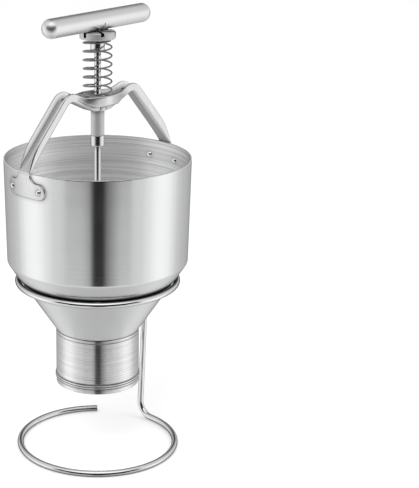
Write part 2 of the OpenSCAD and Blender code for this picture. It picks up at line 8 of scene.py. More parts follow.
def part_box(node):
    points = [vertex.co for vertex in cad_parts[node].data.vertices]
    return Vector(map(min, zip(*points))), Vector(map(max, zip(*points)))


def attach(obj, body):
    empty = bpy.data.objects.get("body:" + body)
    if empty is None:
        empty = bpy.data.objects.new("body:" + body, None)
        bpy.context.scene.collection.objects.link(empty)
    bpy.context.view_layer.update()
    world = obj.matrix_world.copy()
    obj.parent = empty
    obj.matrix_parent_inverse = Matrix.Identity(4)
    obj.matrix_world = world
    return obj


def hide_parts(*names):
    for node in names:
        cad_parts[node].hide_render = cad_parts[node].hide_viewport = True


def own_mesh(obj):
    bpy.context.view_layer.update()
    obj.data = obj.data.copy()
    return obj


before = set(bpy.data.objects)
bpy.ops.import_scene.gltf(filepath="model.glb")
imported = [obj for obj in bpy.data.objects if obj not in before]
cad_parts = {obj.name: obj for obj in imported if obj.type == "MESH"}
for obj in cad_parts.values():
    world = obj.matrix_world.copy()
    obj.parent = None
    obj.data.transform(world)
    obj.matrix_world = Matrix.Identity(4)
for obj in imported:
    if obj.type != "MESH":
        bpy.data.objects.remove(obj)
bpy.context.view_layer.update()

# Pancake batter dispenser in its wire stand. Lengths are written in millimetres
# and turned to metres when a mesh is made. The frame is the CAD model's own.

MM = 0.001

# Stand
WIRE_R = 3.0
BASE_RING_R = 78.0
REST_RING_R = 77.8
REST_RING_Z = 175.3
BEND_R = 15.0
FOOT_ANGLE = 13.0
LEAN_ANGLE = 4.2
BASE_GAP_ANGLE = 34.7
REST_GAP_ANGLE = 20.0

# Hopper and neck
RIM_R = 90.0
SHOULDER_R = 87.9
BOWL_H = 102.2
CONE_H = 70.4
SHEET_T = 1.6
SHOULDER_ROUND_R = 5.0
NECK_R = 41.0
NECK_BORE_R = 38.0
STILL_GAP = 0.1
BEAD_OUT = 1.0
BEAD_H = 4.2
BEAD_RISE = 5.4
GROOVE_W = 0.9
GROOVE_DEPTH = 0.5
GROOVE_DROP = 4.2
LIP_SEAT_H = 2.4
LIP_SEAT_W = 1.6
COLLAR_H = 8.0

# Bridge
STRIP_W = 16.0
STRIP_T = 2.0
FLANGE_H = 8.6
BUMP_X = 38.0
BUMP_RISE = 58.3
BUMP_R = 6.0
DIP_X = 10.0
DIP_RISE = 45.4
TAPER_LEN = 30.0
CUP_RISE = 61.3
CUP_DEPTH = 8.5
CUP_R = 16.75
BOSS_R = 9.0
FLARE_X = 29.0
TAB_H = 15.0
TAB_HOLLOW_R = 8.0
RIVET_DROP = 15.7
RIVET_ANGLE = 11.5

# Guide, rod and dial
TUBE_R = 6.55
TUBE_LEN = 24.3
TUBE_TOP_R = 5.5
TUBE_BORE_R = 5.0
BEARING_H = 7.0
RELIEF_R = 4.0
FERRULE_R = 6.75
SPIGOT_H = 8.0
ROD_R = 3.2
ROD_END_R = 3.0
RUN_GAP = 0.05
DRIVEN_GAP = 0.02
HUB_H = 11.9
STEP_H = 1.4

# Piston, spacer tube and closing disc
FREE_GAP = 0.3
PISTON_BEVEL = 1.0
PISTON_RIM_W = 3.0
PISTON_PLATE_T = 3.0
PISTON_HUB_R = 9.0
SPACER_R = 5.5
DISC_T = 3.0
DISC_INSET = 0.5
NUT_ACROSS = 10.0
NUT_ROOM = 1.2

# Spring
COIL_R = 13.3
COIL_WIRE_R = 0.85
COIL_TURNS = 7.21
COIL_END_ANGLE = -69.7
CLOSE_TURNS = 0.25
CLOSE_PITCH = 6.0
SPRING_LEN = 59.2


def low_z(node):
    """Height of a CAD node's lowest point, in millimetres."""
    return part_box(node)[0].z / MM


def high_z(node):
    """Height of a CAD node's highest point, in millimetres."""
    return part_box(node)[1].z / MM


LIP_Z = low_z("neck_sleeve")
RIM_Z = high_z("hopper_shell")
SHOULDER_Z = RIM_Z - BOWL_H
FOOT_Z = SHOULDER_Z - CONE_H
DIAL_Z = low_z("dose_dial") + HUB_H
DIAL_TOP_Z = high_z("dose_dial")
RUN_R = ROD_R + RUN_GAP
END_RUN_R = ROD_END_R + RUN_GAP
CONE_TILT = math.atan2(SHOULDER_R - NECK_R, CONE_H)
WALL_TILT = math.atan2(RIM_R - SHOULDER_R, BOWL_H)


# Meshes

# How many sides the turned and bent pieces have, and the radii that their corners are rounded to
HOPPER_SIDES, DISC_SIDES, TUBE_SIDES, ROD_SIDES = 192, 128, 96, 64
WIRE_SIDES, COIL_SIDES = 24, 14
FINE_ROUND_R, NECK_ROUND_R, SOFT_ROUND_R, BOSS_ROUND_R = 0.3, 0.35, 0.4, 1.0


def piece(name, verts, faces, material, body, replaced=(), sharp=40):
    """A smooth-shaded mesh in metres that rides on a body."""
    mesh = bpy.data.meshes.new(name)
    mesh.from_pydata([tuple(c * MM for c in v) for v in verts], [], faces)
    mesh.validate()
    bm = bmesh.new()
    bm.from_mesh(mesh)
    bmesh.ops.recalc_face_normals(bm, faces=bm.faces)
    bm.to_mesh(mesh)
    bm.free()
    mesh.polygons.foreach_set("use_smooth", [True] * len(mesh.polygons))
    mesh.set_sharp_from_angle(angle=math.radians(sharp))
    mesh.materials.append(material)
    obj = bpy.data.objects.new(name, mesh)
    bpy.context.scene.collection.objects.link(obj)
    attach(obj, body)
    if replaced:
        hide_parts(*replaced)
    return obj


# Extra points this far past a rounding keep the flat beside it flat in the shading
LINE_HOLD = 0.12
LINE_HOLD_SHARE = 0.06
# A rounding takes this share of a side at most, and a flatter corner than this is left as it is
CUT_SHARE = 0.42
FLAT_ANGLE = math.radians(165)
ROUND_STEPS = 3
TINY = 1e-6


def rounded(points, radius):
    """A closed outline with each of its corners rounded, as far as its sides allow."""
    out = []
    n = len(points)
    for i, p in enumerate(points):
        p = Vector(p)
        a = Vector(points[i - 1]) - p
        b = Vector(points[(i + 1) % n]) - p
        if p.x <= 0 or a.length < TINY or b.length < TINY or a.angle(b) > FLAT_ANGLE:
            out.append(tuple(p))
            continue
        cut = min(radius / math.tan(a.angle(b) / 2), CUT_SHARE * a.length, CUT_SHARE * b.length)
        start = p + a.normalized() * cut
        end = p + b.normalized() * cut
        out.append(tuple(start + a.normalized() * min(LINE_HOLD, LINE_HOLD_SHARE * a.length)))
        for k in range(ROUND_STEPS + 1):
            t = k / ROUND_STEPS
            out.append(tuple(start * (1 - t) ** 2 + p * 2 * t * (1 - t) + end * t ** 2))
        out.append(tuple(end + b.normalized() * min(LINE_HOLD, LINE_HOLD_SHARE * b.length)))
    return out


def lathe(profile, segments):
    """Vertices and faces of a closed (radius, height) outline turned about Z."""
    verts = []
    rings = []
    for r, z in profile:
        if r < TINY:
            rings.append([len(verts)] * segments)
            verts.append((0, 0, z))
            continue
        rings.append(list(range(len(verts), len(verts) + segments)))
        for k in range(segments):
            a = 2 * math.pi * k / segments
            verts.append((r * math.cos(a), r * math.sin(a), z))
    faces = []
    for i in range(len(rings)):
        lower, upper = rings[i], rings[(i + 1) % len(rings)]
        if lower[0] == lower[1] and upper[0] == upper[1]:
            continue
        for k in range(segments):
            m = (k + 1) % segments
            face = [lower[k], lower[m], upper[m], upper[k]]
            faces.append(tuple(dict.fromkeys(face)))
    return verts, faces


# How much narrower a wire's cut ends are, as a share of its radius
END_SHARE = 0.15


def tube(path, radius, sides):
    """Vertices and faces of a wire along a path that starts level, with slightly rounded ends."""
    points = [Vector(p) for p in path]
    tangents = []
    for i in range(len(points)):
        before = points[max(i - 1, 0)]
        after = points[min(i + 1, len(points) - 1)]
        tangents.append((after - before).normalized())
    side = tangents[0].cross(Vector((0, 0, 1))).normalized()
    rings = []
    verts = []

    def ring(centre, tangent, r):
        rings.append(list(range(len(verts), len(verts) + sides)))
        other = tangent.cross(side).normalized()
        for k in range(sides):
            a = 2 * math.pi * k / sides
            verts.append(tuple(centre + r * (math.cos(a) * side + math.sin(a) * other)))

    for i, (p, t) in enumerate(zip(points, tangents)):
        side = (side - t * side.dot(t)).normalized()
        if i == 0:
            ring(p, t, radius * (1 - END_SHARE))
            ring(p + t * radius * END_SHARE, t, radius)
        elif i == len(points) - 1:
            ring(p - t * radius * END_SHARE, t, radius)
            ring(p, t, radius * (1 - END_SHARE))
        else:
            ring(p, t, radius)
    faces = []
    for lower, upper in zip(rings, rings[1:]):
        for k in range(sides):
            m = (k + 1) % sides
            faces.append((lower[k], lower[m], upper[m], upper[k]))
    faces.append(tuple(reversed(rings[0])))
    faces.append(tuple(rings[-1]))
    return verts, faces


def on_circle(r, degrees, z):
    """A point at an angle round the object's axis."""
    a = math.radians(degrees)
    return Vector((r * math.cos(a), r * math.sin(a), z))


# Shader nodes

def node(tree, kind, **values):
    """A shader node with the given properties and socket values."""
    made = tree.nodes.new(kind)
    for key, value in values.items():
        if hasattr(made, key):
            setattr(made, key, value)
        else:
            made.inputs[key.replace("_", " ")].default_value = value
    return made


def feed(tree, socket, value):
    """Gives a socket a level, or the output of another node."""
    if not isinstance(value, (int, float)):
        tree.links.new(value, socket)
    elif socket.type == "RGBA":
        socket.default_value = (value, value, value, 1)
    else:
        socket.default_value = value


def math_node(tree, operation, *values):
    """The result of a sum on numbers and outputs."""
    made = node(tree, "ShaderNodeMath", operation=operation)
    for socket, value in zip(made.inputs, values):
        feed(tree, socket, value)
    return made.outputs[0]


def mixed(tree, share, a, b):
    """A colour between two levels or colours."""
    made = node(tree, "ShaderNodeMix", data_type="RGBA")
    feed(tree, made.inputs["Factor"], share)
    feed(tree, made.inputs["A"], a)
    feed(tree, made.inputs["B"], b)
    return made.outputs["Result"]


def stepped(tree, value, low, high):
    """0 below low, 1 above high, smooth between; low may be the larger."""
    made = node(tree, "ShaderNodeMapRange", interpolation_type="SMOOTHSTEP")
    feed(tree, made.inputs["Value"], value)
    feed(tree, made.inputs["From Min"], low)
    feed(tree, made.inputs["From Max"], high)
    return made.outputs["Result"]


def ramp(tree, value, stops):
    """A grey that follows a list of (place, level)."""
    made = node(tree, "ShaderNodeValToRGB")
    made.color_ramp.interpolation = "EASE"
    elements = made.color_ramp.elements
    while len(elements) < len(stops):
        elements.new(0.5)
    for element, (place, level) in zip(elements, stops):
        element.position = place
        element.color = (level, level, level, 1)
    feed(tree, made.inputs[0], value)
    return made.outputs[0]


# Metals

# How far the painted shade in a crease between two surfaces reaches, in metres, and how dark it is
PAINTED_SHADE_REACH = 0.005
PAINTED_SHADE_DEPTH = 1.5
# Clouds in the gloss and grain of the surface, in repeats per metre
CLOUD_SCALE = 60.0
GRAIN_SCALE = 1500.0
# How deep lines and grain are at full strength, in metres
LINE_DEPTH = 0.0002
GRAIN_DEPTH = 0.0001
LEAST_ROUGHNESS = 0.02
# Stretched gloss lies across the lines, as a share of a turn
ACROSS = 0.25


def line_noise(tree, place, lines, lay):
    """Noise drawn out into lines, laid round the object or along the strip."""
    mapping = node(tree, "ShaderNodeMapping", Scale=lines)
    feed(tree, mapping.inputs["Vector"], place.outputs[lay])
    noise = node(tree, "ShaderNodeTexNoise", Scale=1.0, Detail=4.0, Roughness=0.7)
    feed(tree, noise.inputs["Vector"], mapping.outputs["Vector"])
    return noise.outputs["Fac"]


def tinted(tree, streak, colour, shade, crisp):
    """The colour, up to a share lighter and darker by the lines."""
    tint = node(tree, "ShaderNodeMix", data_type="RGBA")
    tint.inputs["A"].default_value = (*[c * (1 - shade) for c in colour], 1)
    tint.inputs["B"].default_value = (*[min(c * (1 + shade), 1) for c in colour], 1)
    contrast = node(tree, "ShaderNodeMapRange", From_Min=crisp, From_Max=1 - crisp)
    feed(tree, contrast.inputs["Value"], streak)
    feed(tree, tint.inputs["Factor"], contrast.outputs["Result"])
    return tint.outputs["Result"]


def painted_crease_shade(tree, colour, depth):
    """The colour with painted shade: darker where two surfaces meet and shade falls."""
    open_sky = node(tree, "ShaderNodeAmbientOcclusion", samples=8, Distance=PAINTED_SHADE_REACH)
    shaded = node(tree, "ShaderNodeMix", data_type="RGBA", blend_type="MULTIPLY", Factor=1.0)
    feed(tree, shaded.inputs["A"], colour)
    feed(tree, shaded.inputs["B"], math_node(tree, "POWER", open_sky.outputs["AO"], depth))
    return shaded.outputs["Result"]


def dented(tree, place, streak, line_bump, grain):
    """The surface's normal, bent by its lines and, where it has any, its grain."""
    height = node(tree, "ShaderNodeBump", Strength=line_bump, Distance=LINE_DEPTH)
    feed(tree, height.inputs["Height"], streak)
    if not grain:
        return height.outputs["Normal"]
    fine = node(tree, "ShaderNodeTexNoise", Scale=GRAIN_SCALE, Detail=2.0)
    feed(tree, fine.inputs["Vector"], place.outputs["Object"])
    pits = node(tree, "ShaderNodeBump", Strength=grain, Distance=GRAIN_DEPTH)
    feed(tree, pits.inputs["Height"], fine.outputs["Fac"])
    feed(tree, pits.inputs["Normal"], height.outputs["Normal"])
    return pits.outputs["Normal"]


def metal(name, colour, roughness, lines, line_bump, grain=0.0, stretch=0.0, shade=0.06,
          spread=0.05, lay="Object", painted_shade_depth=PAINTED_SHADE_DEPTH, crisp=0.0, edge=1.0, matte=0.0):
    """A metal with turned or drawn lines and cloudy gloss, stretched where it is brushed."""
    material = bpy.data.materials.new(name)
    material.use_nodes = True
    tree = material.node_tree
    shader = tree.nodes["Principled BSDF"]
    shader.inputs["Metallic"].default_value = 1 - matte
    shader.inputs["Specular Tint"].default_value = (edge, edge, edge, 1)
    shader.inputs["Anisotropic"].default_value = stretch
    place = node(tree, "ShaderNodeTexCoord")
    streak = line_noise(tree, place, lines, lay)
    tint = tinted(tree, streak, colour, shade, crisp)
    # The base colour carries painted shade, darker where surfaces meet
    feed(tree, shader.inputs["Base Color"], painted_crease_shade(tree, tint, painted_shade_depth))
    feed(tree, shader.inputs["Normal"], dented(tree, place, streak, line_bump, grain))
    clouds = node(tree, "ShaderNodeTexNoise", Scale=CLOUD_SCALE, Detail=3.0)
    feed(tree, clouds.inputs["Vector"], place.outputs["Object"])
    gloss = node(tree, "ShaderNodeMapRange", To_Min=max(roughness - spread, LEAST_ROUGHNESS),
                 To_Max=roughness + spread)
    feed(tree, gloss.inputs["Value"], clouds.outputs["Fac"])
    feed(tree, shader.inputs["Roughness"], gloss.outputs["Result"])
    if stretch:
        shader.inputs["Anisotropic Rotation"].default_value = ACROSS
        tangent = node(tree, "ShaderNodeTangent", direction_type="RADIAL", axis="Z")
        feed(tree, shader.inputs["Tangent"], tangent.outputs["Tangent"])
    return material


# Each metal: colour, roughness, lines per metre by axis and how deep they are, then what differs
TURNED = (4.0, 4.0, 900.0)
SPUN = metal("spun_aluminium", (0.9, 0.905, 0.91), 0.15, (3.0, 3.0, 700.0), 0.05, stretch=0.78,
             shade=0.02, spread=0.03, crisp=0.1)
SPUN_INSIDE = metal("spun_inside", (0.95, 0.955, 0.96), 0.5, (4.0, 4.0, 750.0), 1.0, stretch=0.9,
                    shade=0.24, crisp=0.4, edge=0.2, matte=0.3)
TURNED_ALU = metal("turned_aluminium", (0.86, 0.865, 0.86), 0.16, (8.0, 8.0, 800.0), 0.5,
                   stretch=0.7, shade=0.12, painted_shade_depth=1.2, crisp=0.32)
BAR_ALU = metal("bar_aluminium", (0.96, 0.96, 0.965), 0.36, (20.0, 900.0, 900.0), 0.1, grain=0.1,
                shade=0.03, edge=0.7)
STRIP = metal("strip_steel", (0.8, 0.8, 0.805), 0.24, (60.0, 1100.0, 0.0), 0.15, grain=0.1,
              shade=0.1, lay="UV", painted_shade_depth=1.8, crisp=0.3, edge=0.4)
# Painted shade: a darker copy of the strip's steel for the web's underside, which lies in shadow
STRIP_PAINTED_SHADE = metal("strip_underside_painted_shade", (0.42, 0.42, 0.425), 0.42, (60.0, 900.0, 0.0), 0.2,
                    grain=0.2, shade=0.16, lay="UV", crisp=0.25)
GUIDE = metal("guide_metal", (0.84, 0.84, 0.845), 0.66, TURNED, 0.1, grain=0.1)
BRIGHT = metal("bright_steel", (0.82, 0.82, 0.82), 0.1, TURNED, 0.03, spread=0.03, edge=0.5)
DIAL = metal("dial_steel", (0.82, 0.82, 0.825), 0.6, (300.0, 300.0, 900.0), 0.12, grain=0.2,
             painted_shade_depth=0.4)
DIAL_HUB = metal("dial_hub", (0.86, 0.86, 0.865), 0.14, TURNED, 0.05, painted_shade_depth=0.3)
# Painted shade: near black for the inside of the dial's slots, which are the dial's own steel
PAINTED_SLOT_SHADE = metal("dial_slot_painted_shade", (0.12, 0.12, 0.12), 0.5, (300.0, 300.0, 300.0), 0.1)
SPRING = metal("spring_steel", (0.32, 0.32, 0.325), 0.16, (300.0, 300.0, 300.0), 0.06)
STAND = metal("stand_steel", (0.93, 0.93, 0.935), 0.08, (250.0, 250.0, 250.0), 0.02, spread=0.02,
              edge=0.3)
SMALL = metal("small_steel", (0.96, 0.96, 0.965), 0.12, (400.0, 400.0, 400.0), 0.04,
              painted_shade_depth=0.4, edge=0.5)

NODE_METALS = {
    "bridge_rivets": SMALL, "guide_nut": SMALL, "handle_pin": SMALL, "dial_pin": SMALL,
    "spring_seat": SMALL, "piston_nut": SMALL, "disc_nut": SMALL, "handle_bar": BAR_ALU,
    "dose_dial": DIAL,
}
for name, material in NODE_METALS.items():
    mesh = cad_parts[name].data
    mesh.materials.clear()
    mesh.materials.append(material)


# The slots' faces lie at least this far above the dial's underside and below its top
SLOT_RISE = 1.0
SLOT_DROP = 0.3
# A slot's floor faces up more and outward less than this, and its walls less than this both ways
FLOOR_UP, FLOOR_OUT = 0.7, 0.3
WALL_UP, WALL_OUT = 0.5, 0.8


def finish_dial():
    """Turned metal on the hub, and painted shade on the slots' floors and walls."""
    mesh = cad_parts["dose_dial"].data
    mesh.materials.append(DIAL_HUB)
    mesh.materials.append(PAINTED_SLOT_SHADE)
    for face in mesh.polygons:
        outward = face.center.xy.normalized().dot(face.normal.xy)
        height = face.center.z / MM
        if height < DIAL_Z - STEP_H:
            face.material_index = 1
        elif DIAL_Z + SLOT_RISE < height < DIAL_TOP_Z - SLOT_DROP:
            floor = face.normal.z > FLOOR_UP and outward < FLOOR_OUT
            wall = abs(face.normal.z) < WALL_UP and abs(outward) < WALL_OUT
            # Slot floors and walls get the painted shade
            if floor or wall:
                face.material_index = 2


finish_dial()
# The bar, the bridge and the hopper aren't mirrored in the metal: the studio's pattern allows
# for them
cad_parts["handle_bar"].visible_glossy = False


# Hopper: spun sheet, with the ridges that the roller leaves inside and low on the outside

def ridge(z, waves):
    """How far the metal is pushed in or out at a height, by waves of (length, size, start)."""
    return sum(size * math.sin(2 * math.pi * z / length + start) for length, size, start in waves)


INNER_WAVES = ((3.9, 0.026, 0.4), (2.3, 0.016, 1.9), (6.7, 0.026, 0.0))
OUTER_WAVES = ((2.9, 0.004, 0.0), (4.7, 0.006, 1.0))
# How strong the ridges are at the shoulder, and how that changes up to the rim
INNER_STRENGTH = (0.5, 0.5)
OUTER_STRENGTH = (1.4, -3.9)
RIDGE_STEP = 0.5
# They fade over this length at the wall's ends, and over this share of the cone
WALL_FADE_LEN = 2.0
CONE_FADE_SHARE = 0.125
# The wall starts this far above the shoulder, and the cone ends this far short of its rounding
WALL_RISE = 4.0
CONE_SHORT = 1.0
CONE_STEPS = 60
SHOULDER_STEPS = 12
RIM_STEPS = 8


def wall_line(offset, waves, low, high, strength):
    """Points up the bowl's wall, from low to high; the ridges fade towards the ends."""
    at_shoulder, change = strength
    count = int((high - low) / RIDGE_STEP)
    points = []
    for i in range(count + 1):
        z = low + (high - low) * i / count
        share = (z - SHOULDER_Z) / BOWL_H
        fade = min(1.0, (z - low) / WALL_FADE_LEN, (high - z) / WALL_FADE_LEN)
        fade *= at_shoulder + change * share
        r = SHOULDER_R + (RIM_R - SHOULDER_R) * share - offset + ridge(z, waves) * max(fade, 0)
        points.append((r, z))
    return points


def shoulder_line(round_r):
    """The rounded shoulder, which both straight lines touch."""
    turn = CONE_TILT - WALL_TILT
    reach = SHOULDER_ROUND_R * math.tan(turn / 2)
    cx = SHOULDER_R - reach * math.sin(CONE_TILT) - SHOULDER_ROUND_R * math.cos(CONE_TILT)
    cz = SHOULDER_Z - reach * math.cos(CONE_TILT) + SHOULDER_ROUND_R * math.sin(CONE_TILT)
    line = []
    for i in range(SHOULDER_STEPS + 1):
        a = -CONE_TILT + turn * i / SHOULDER_STEPS
        line.append((cx + round_r * math.cos(a), cz + round_r * math.sin(a)))
    return line


def cone_z(r, t):
    """Height of the cone at a radius, on the face that lies t inside the outer one."""
    return FOOT_Z + (r - NECK_R + t / math.cos(CONE_TILT)) / math.tan(CONE_TILT)


def cone_line(r_from, r_to, t, waves):
    """Points up the cone, with its ridges."""
    points = []
    for i in range(CONE_STEPS + 1):
        share = i / CONE_STEPS
        r = r_from + (r_to - r_from) * share
        z = cone_z(r, t)
        fade = min(1.0, share / CONE_FADE_SHARE, (1 - share) / CONE_FADE_SHARE)
        lift = ridge(z, waves) * fade
        points.append((r + lift * math.cos(CONE_TILT), z - lift * math.sin(CONE_TILT)))
    return points


def make_hopper():
    """The bowl and cone in one sheet, with a brushed inside."""
    round_r = SHEET_T / 2
    low, high = SHOULDER_Z + WALL_RISE, RIM_Z - round_r
    collar_r = NECK_BORE_R + SHEET_T
    outer_shoulder = shoulder_line(SHOULDER_ROUND_R)
    inner_shoulder = shoulder_line(SHOULDER_ROUND_R - SHEET_T)
    outline = [(NECK_BORE_R, FOOT_Z - COLLAR_H), (collar_r, FOOT_Z - COLLAR_H)]
    outline += cone_line(collar_r, outer_shoulder[0][0] - CONE_SHORT, 0, OUTER_WAVES)
    outline += outer_shoulder
    outline += wall_line(0, OUTER_WAVES, low, high, OUTER_STRENGTH)
    for i in range(1, RIM_STEPS):
        a = math.pi * i / RIM_STEPS
        outline.append((RIM_R - round_r + round_r * math.cos(a), high + round_r * math.sin(a)))
    outline += reversed(wall_line(SHEET_T, INNER_WAVES, low, high, INNER_STRENGTH))
    outline += reversed(inner_shoulder)
    inner_r = inner_shoulder[0][0] - CONE_SHORT
    outline += reversed(cone_line(NECK_BORE_R, inner_r, SHEET_T, INNER_WAVES))
    verts, faces = lathe(outline, HOPPER_SIDES)
    hopper = piece("hopper_spun", verts, faces, SPUN, "dispenser",
                   ["hopper_shell"])
    hopper.data.materials.append(SPUN_INSIDE)
    for face in hopper.data.polygons:
        if face.normal.xy.dot(face.center.xy) < 0:
            face.material_index = 1
    hopper.visible_glossy = False


BEAD_BEVEL = 0.5


def make_neck():
    """The sleeve with its bead, grooves and conical seat for the disc."""
    bead_z = LIP_Z + BEAD_RISE
    groove_z = FOOT_Z - GROOVE_DROP
    bead_mid = bead_z + BEAD_H / 2
    bead_r = NECK_R + BEAD_OUT
    groove_r = NECK_R - GROOVE_DEPTH
    socket_r = NECK_BORE_R + SHEET_T + STILL_GAP
    drop = STILL_GAP / math.sin(CONE_TILT)
    outline = [
        (NECK_BORE_R + LIP_SEAT_W, LIP_Z), (NECK_R, LIP_Z), (NECK_R, bead_z - GROOVE_W),
        (groove_r, bead_z - GROOVE_W), (groove_r, bead_z), (bead_r, bead_z + BEAD_BEVEL),
        (bead_r, bead_mid - BEAD_BEVEL), (NECK_R, bead_mid), (bead_r, bead_mid + BEAD_BEVEL),
        (bead_r, bead_z + BEAD_H - BEAD_BEVEL), (groove_r, bead_z + BEAD_H),
        (groove_r, bead_z + BEAD_H + GROOVE_W), (NECK_R, bead_z + BEAD_H + GROOVE_W),
        (NECK_R, groove_z), (groove_r, groove_z), (groove_r, groove_z + GROOVE_W),
        (NECK_R, groove_z + GROOVE_W), (NECK_R, FOOT_Z - drop),
        (socket_r, cone_z(socket_r, 0) - drop), (socket_r, FOOT_Z - COLLAR_H - STILL_GAP),
        (NECK_BORE_R, FOOT_Z - COLLAR_H - STILL_GAP), (NECK_BORE_R, LIP_Z + LIP_SEAT_H)]
    verts, faces = lathe(rounded(outline, NECK_ROUND_R), HOPPER_SIDES)
    piece("neck_turned", verts, faces, TURNED_ALU, "dispenser",
          ["neck_sleeve"])


# Bridge: a channel pressed from one strip, swept from the cup in the middle out to the rim

CUP_TOP_Z = RIM_Z + CUP_RISE
CUP_FLOOR_Z = CUP_TOP_Z - CUP_DEPTH
DIP_Z = RIM_Z + DIP_RISE
PLATE_Z = CUP_FLOOR_Z - STRIP_T
BUMP_CENTRE = Vector((BUMP_X, RIM_Z + BUMP_RISE - BUMP_R))
ARM_FOOT = Vector((RIM_R + STILL_GAP, RIM_Z + STILL_GAP))
HALF_W = STRIP_W / 2
# The section's lower corners and free edges, and the height of its straight side
CORNER_R = 2.8
EDGE_R = 1.5
SIDE_H = 3.2
# Height over which the arm's foot takes on the roundness of the hopper
BOW_LEN = 14.0
FOOT_BEND_R = 0.3
# The strip bends this far to either side of the dip, and has its full lean this far past it
DIP_SOFT = 4.0
LEAN_LEN = 16.0
# The flare starts this far from the middle and ends this far past its corner
FLARE_START, FLARE_PAST = 3.0, 2.0
# Least height of the arm's edges over its floor
LEAST_LIP = 0.05
SLOPE_STEPS, BUMP_STEPS, ARM_STEPS, FOOT_STEPS = 22, 14, 20, 6


def tangent_angle(point, side):
    """Direction of the line from a point to the bump, which touches it above."""
    line = BUMP_CENTRE - point
    return math.atan2(line.y, line.x) + side * math.asin(BUMP_R / line.length)


DIP_TILT = tangent_angle(Vector((DIP_X, DIP_Z)), 1)
ARM_TILT = tangent_angle(ARM_FOOT, -1)


def smooth(t):
    """From 0 to 1 with level ends."""
    t = min(max(t, 0.0), 1.0)
    return t * t * (3 - 2 * t)


def dip_height(x):
    """The strip's lower face between the middle and the bump, its bend rounded."""
    if x < DIP_X - DIP_SOFT:
        return DIP_Z
    if x > DIP_X + DIP_SOFT:
        return DIP_Z + (x - DIP_X) * math.tan(DIP_TILT)
    return DIP_Z + (x - DIP_X + DIP_SOFT) ** 2 / (4 * DIP_SOFT) * math.tan(DIP_TILT)


def top_half_width(x):
    """Half the channel's width at its free edges: the flares that lead to the round cup."""
    end = FLARE_X + FLARE_PAST
    share = min(max((end - x) / (end - FLARE_START), 0.0), 1.0)
    return HALF_W + (CUP_R - HALF_W) * (share + smooth(share)) / 2


def stations():
    """Places along the strip, each (lower point, normal, edge height, floor, side, widening)."""
    places = []
    bump_start = BUMP_CENTRE.x - BUMP_R * math.sin(DIP_TILT)
    for i in range(SLOPE_STEPS):
        x = bump_start * i / SLOPE_STEPS
        lean = DIP_TILT * smooth(x / (DIP_X + LEAN_LEN))
        z = dip_height(x)
        edge = max(FLANGE_H, (CUP_TOP_Z - z) / math.cos(lean))
        floor = max(STRIP_T, (CUP_FLOOR_Z - z) / math.cos(lean))
        side = max(SIDE_H, (PLATE_Z - z) / math.cos(lean))
        wide = top_half_width(x - edge * math.sin(lean)) - HALF_W
        places.append((Vector((x, z)), math.pi / 2 + lean, edge, floor, side, wide))
    start, end = math.pi / 2 + DIP_TILT, ARM_TILT - math.pi / 2
    for i in range(BUMP_STEPS + 1):
        a = start + (end - start) * i / BUMP_STEPS
        point = BUMP_CENTRE + BUMP_R * Vector((math.cos(a), math.sin(a)))
        places.append((point, a, FLANGE_H, STRIP_T, SIDE_H, 0.0))
    last = places[-1][0]
    centre = ARM_FOOT - FOOT_BEND_R * Vector((1, math.tan(end / 2)))
    arm = centre + FOOT_BEND_R * Vector((math.cos(end), math.sin(end))) - last
    for i in range(1, ARM_STEPS + 1):
        point = last + arm * i / ARM_STEPS
        taper = min((ARM_FOOT - point).length / TAPER_LEN, 1.0)
        lip = LEAST_LIP + (FLANGE_H - STRIP_T - LEAST_LIP) * math.sin(taper * math.pi / 2)
        edge = STRIP_T + lip
        places.append((point, end, edge, STRIP_T, SIDE_H * edge / FLANGE_H, 0.0))
    flat = places[-1][2:]
    for i in range(1, FOOT_STEPS + 1):
        a = end * (1 - i / FOOT_STEPS)
        places.append((centre + FOOT_BEND_R * Vector((math.cos(a), math.sin(a))), a, *flat))
    return places


def bezier(a, b, c, steps):
    """Points of a curve from a to c, drawn towards b, without its first point."""
    points = []
    for i in range(1, steps + 1):
        t = i / steps
        points.append(tuple((1 - t) ** 2 * p + 2 * t * (1 - t) * q + t * t * r
                            for p, q, r in zip(a, b, c)))
    return points


# Roundings of the section: most radii, and the most that they take of the height they lie in
FILLET_R, ROUND_IN_R = 0.8, 1.2
TIP_SHARE, FILLET_SHARE, ROUND_IN_SHARE = 0.3, 0.6, 0.45
# Extra points past the roundings hold the flats, in millimetres or as a share of the depth
CORNER_HOLD, FILLET_HOLD, TIP_HOLD = 0.15, 0.01, 0.2
FLOOR_HOLD_SHARE = 0.1
# The two floors have a point at this share of their half width
FLAT_SHARE = 0.45
CORNER_STEPS, FILLET_STEPS, FLARE_STEPS, TIP_STEPS = 6, 3, 5, 4
# Points of the flare: shares of its widening, outward and up, and a lift
FLARE_FOOT, FLARE_LINE, FLARE_TURN = (0.12, 0.0, 0.03), (0.7, 0.04, 0.06), (0.97, 0.05, 0.1)
FLARE_RISE_SHARE = 0.3


